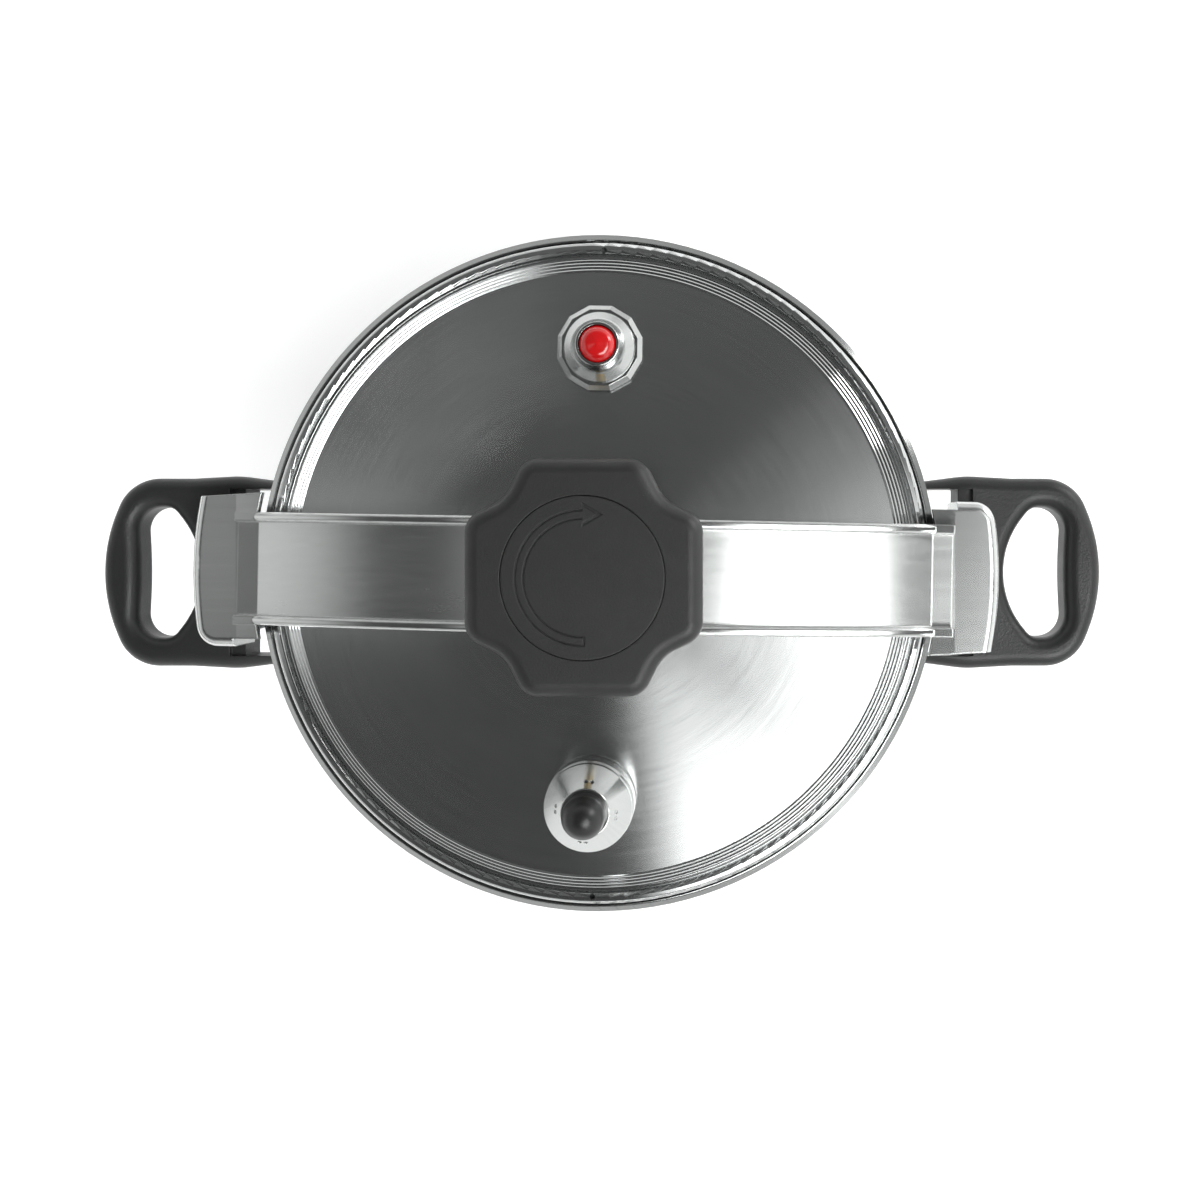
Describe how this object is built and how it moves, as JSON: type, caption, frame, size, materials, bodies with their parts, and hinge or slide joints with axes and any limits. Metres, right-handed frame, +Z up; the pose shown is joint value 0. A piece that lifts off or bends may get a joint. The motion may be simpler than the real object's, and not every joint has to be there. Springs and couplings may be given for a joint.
{
  "type": "pressure canner",
  "caption": "Stove-top pressure canner with a stepped steel pot, domed lid, hooked clamp yoke, lobed black knob, loop side handles, vent weight and red pressure button.",
  "frame": {"origin": "centre of the base underside, where the pot stands", "axes": "+Z up, +X along the yoke and the side handles, +Y towards the red pressure button"},
  "size_m": [0.387, 0.256, 0.25],
  "materials": {
    "pot_steel": "fine circular brushing",
    "lid_steel": "spun and circular brushed",
    "yoke_steel": "brushed along its length, polished rails",
    "valve_steel": "turned and polished",
    "bracket_steel": "plain pressed steel",
    "fastener_steel": "plain",
    "heat_aluminium": "sealed inside the base",
    "bush_brass": "turned",
    "handle_black": "fine-grained phenolic moulding",
    "knob_black": "fine-grained phenolic moulding",
    "ball_black": "satin phenolic",
    "button_red": "gloss",
    "seal_rubber": "moulded",
    "spring_steel": "drawn wire"
  },
  "bodies": {
    "pot": {"pot_shell": "pot_steel", "base_core": "heat_aluminium", "base_cap": "pot_steel", "right_lug_bracket": "bracket_steel", "left_lug_bracket": "bracket_steel", "right_handle": "handle_black", "left_handle": "handle_black", "handle_screws": "fastener_steel"},
    "rack": {"rack": "fastener_steel"},
    "lid": {"lid_shell": "lid_steel", "lid_gasket": "seal_rubber", "centre_boss": "fastener_steel", "indicator_housing": "valve_steel", "indicator_seal": "seal_rubber", "indicator_shim": "fastener_steel", "indicator_nut": "fastener_steel", "indicator_spring": "spring_steel", "vent_body": "valve_steel", "vent_seal": "seal_rubber", "vent_shim": "fastener_steel", "vent_nut": "fastener_steel", "vent_filter": "fastener_steel"},
    "indicator": {"indicator_button": "button_red", "indicator_stem": "fastener_steel"},
    "weight": {"regulator_needle": "fastener_steel"},
    "weight_cap": {"regulator_cone": "valve_steel", "regulator_ball": "ball_black"},
    "yoke": {"yoke_strap": "yoke_steel", "right_hook": "yoke_steel", "left_hook": "yoke_steel", "threaded_bush": "bush_brass"},
    "foot": {"pressure_foot": "fastener_steel", "foot_clip": "spring_steel"},
    "knob": {"clamp_screw": "fastener_steel", "knob_grip": "knob_black", "knob_washer": "fastener_steel", "knob_nut": "fastener_steel", "knob_cap": "knob_black"}
  },
  "joints": [
    {"name": "lid_lift", "type": "slide", "parent": "pot", "child": "lid", "axis": [0, 0, 1], "range_m": [0, 0.12]},
    {"name": "rack_lift", "type": "slide", "parent": "pot", "child": "rack", "axis": [0, 0, 1], "range_m": [0, 0.14]},
    {"name": "indicator_rise", "type": "slide", "parent": "lid", "child": "indicator", "axis": [0, 0, 1], "range_m": [0, 0.004], "stiffness_N_per_m": 150, "springref_m": -0.004, "deforming": ["indicator_spring"]},
    {"name": "regulator_lift", "type": "slide", "parent": "lid", "child": "weight", "axis": [0, 0, 1], "range_m": [0, 0.006]},
    {"name": "regulator_turn", "type": "hinge", "parent": "weight", "child": "weight_cap", "pos_m": [-0.00153, -0.08329, 0.205], "axis": [0, 0, 1], "continuous": true},
    {"name": "yoke_swing", "type": "hinge", "parent": "lid", "child": "yoke", "pos_m": [0, 0, 0.21], "axis": [0, 0, 1], "range_deg": [0, 45]},
    {"name": "screw_rise", "type": "slide", "parent": "yoke", "child": "foot", "axis": [0, 0, 1], "range_m": [0, 0.0045]},
    {"name": "knob_turn", "type": "hinge", "parent": "foot", "child": "knob", "pos_m": [0, 0, 0.23], "axis": [0, 0, 1], "range_deg": [0, 540]}
  ],
  "couplings": [
    {"joint": "screw_rise", "follows": "knob_turn", "m_per_rad": 0.00047746}
  ]
}
